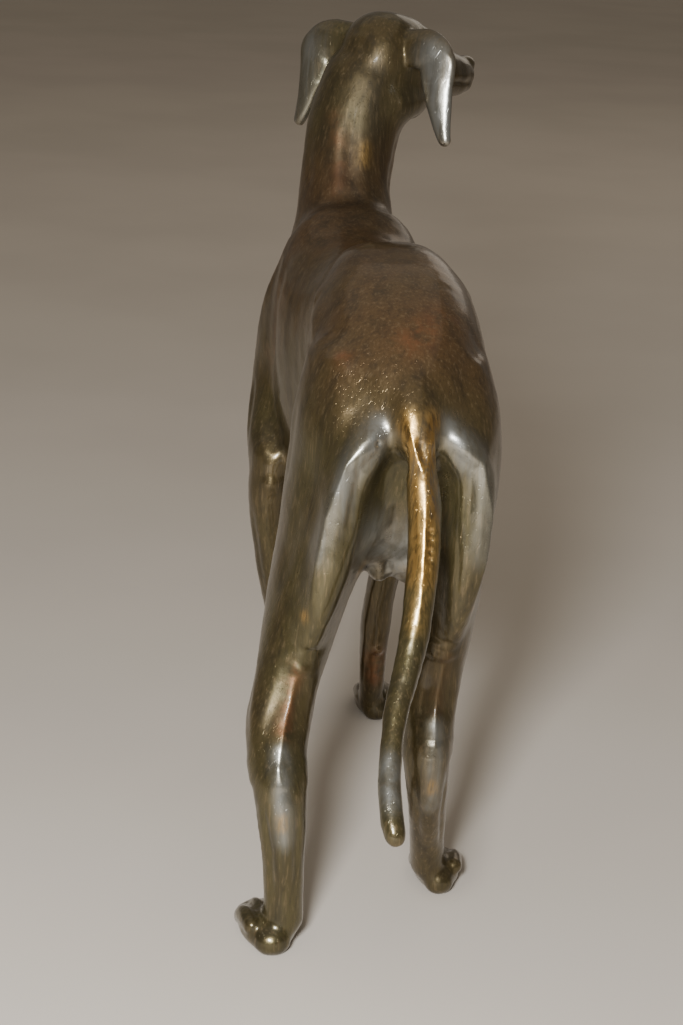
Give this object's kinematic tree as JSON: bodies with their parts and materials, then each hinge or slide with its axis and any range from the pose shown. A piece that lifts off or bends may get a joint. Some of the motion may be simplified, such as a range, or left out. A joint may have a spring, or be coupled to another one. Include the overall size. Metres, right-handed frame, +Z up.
{
  "type": "greyhound statue",
  "caption": "Standing greyhound sculpture in patinated bronze, slender, with drop ears, turned head, arched loin and long hanging tail, on its own paws.",
  "frame": {"origin": "middle of the underside of the bounding box, on the plane of the four soles", "axes": "+Z up; +Y the way the body faces, from the tail to the breast; +X towards the hound's right side"},
  "size_m": [0.1534, 0.4352, 0.3944],
  "materials": {
    "patinated_bronze": "dark olive-brown patina, waxed to a gloss, worn golden along the upper tail"
  },
  "bodies": {
    "root": {"greyhound": "patinated_bronze"}
  },
  "joints": []
}
